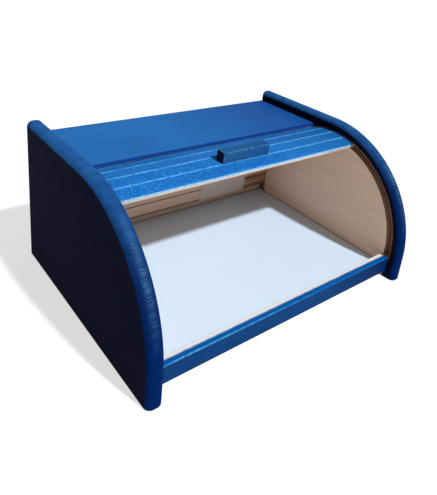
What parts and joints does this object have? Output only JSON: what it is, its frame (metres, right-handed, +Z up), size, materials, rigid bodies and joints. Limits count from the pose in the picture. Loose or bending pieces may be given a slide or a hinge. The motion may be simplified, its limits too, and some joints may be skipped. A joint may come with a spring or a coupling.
{
  "type": "bread bin",
  "caption": "Wooden roll-top bread bin: a lid of slats runs in curved grooves between two side panels with a rounded front corner.",
  "frame": {"origin": "on the surface it stands on, under the middle of the bin", "axes": "+Z up, -Y towards the open front, +X to the right seen from the front"},
  "size_m": [0.39, 0.29, 0.18],
  "materials": {
    "stained_wood": "satin",
    "raw_wood": "matte",
    "handle_wood": "satin",
    "white_board": "satin",
    "cloth_tape": "matte",
    "screw_steel": "satin"
  },
  "bodies": {
    "carcass": {"left_side": "stained_wood", "right_side": "stained_wood", "top_board": "stained_wood", "front_rail": "stained_wood", "rear_rail": "raw_wood", "back_panel": "raw_wood", "floor_panel": "white_board", "front_rail_dowels": "raw_wood", "rear_rail_dowels": "raw_wood", "top_board_dowels": "raw_wood"},
    "roll_lid": {"slat_01_front": "stained_wood", "slat_02": "stained_wood", "slat_03": "stained_wood", "slat_04": "stained_wood", "slat_05": "stained_wood", "slat_06": "stained_wood", "slat_07": "stained_wood", "slat_08": "stained_wood", "slat_09": "stained_wood", "slat_10": "stained_wood", "slat_11": "stained_wood", "slat_12": "stained_wood", "slat_13": "stained_wood", "tape_left": "cloth_tape", "tape_right": "cloth_tape", "handle": "handle_wood", "handle_screws": "screw_steel"}
  },
  "joints": [
    {"name": "lid_roll", "type": "hinge", "parent": "carcass", "child": "roll_lid", "pos_m": [0, -0.005, 0.038], "axis": [1, 0, 0], "range_deg": [0, 76.5]}
  ]
}
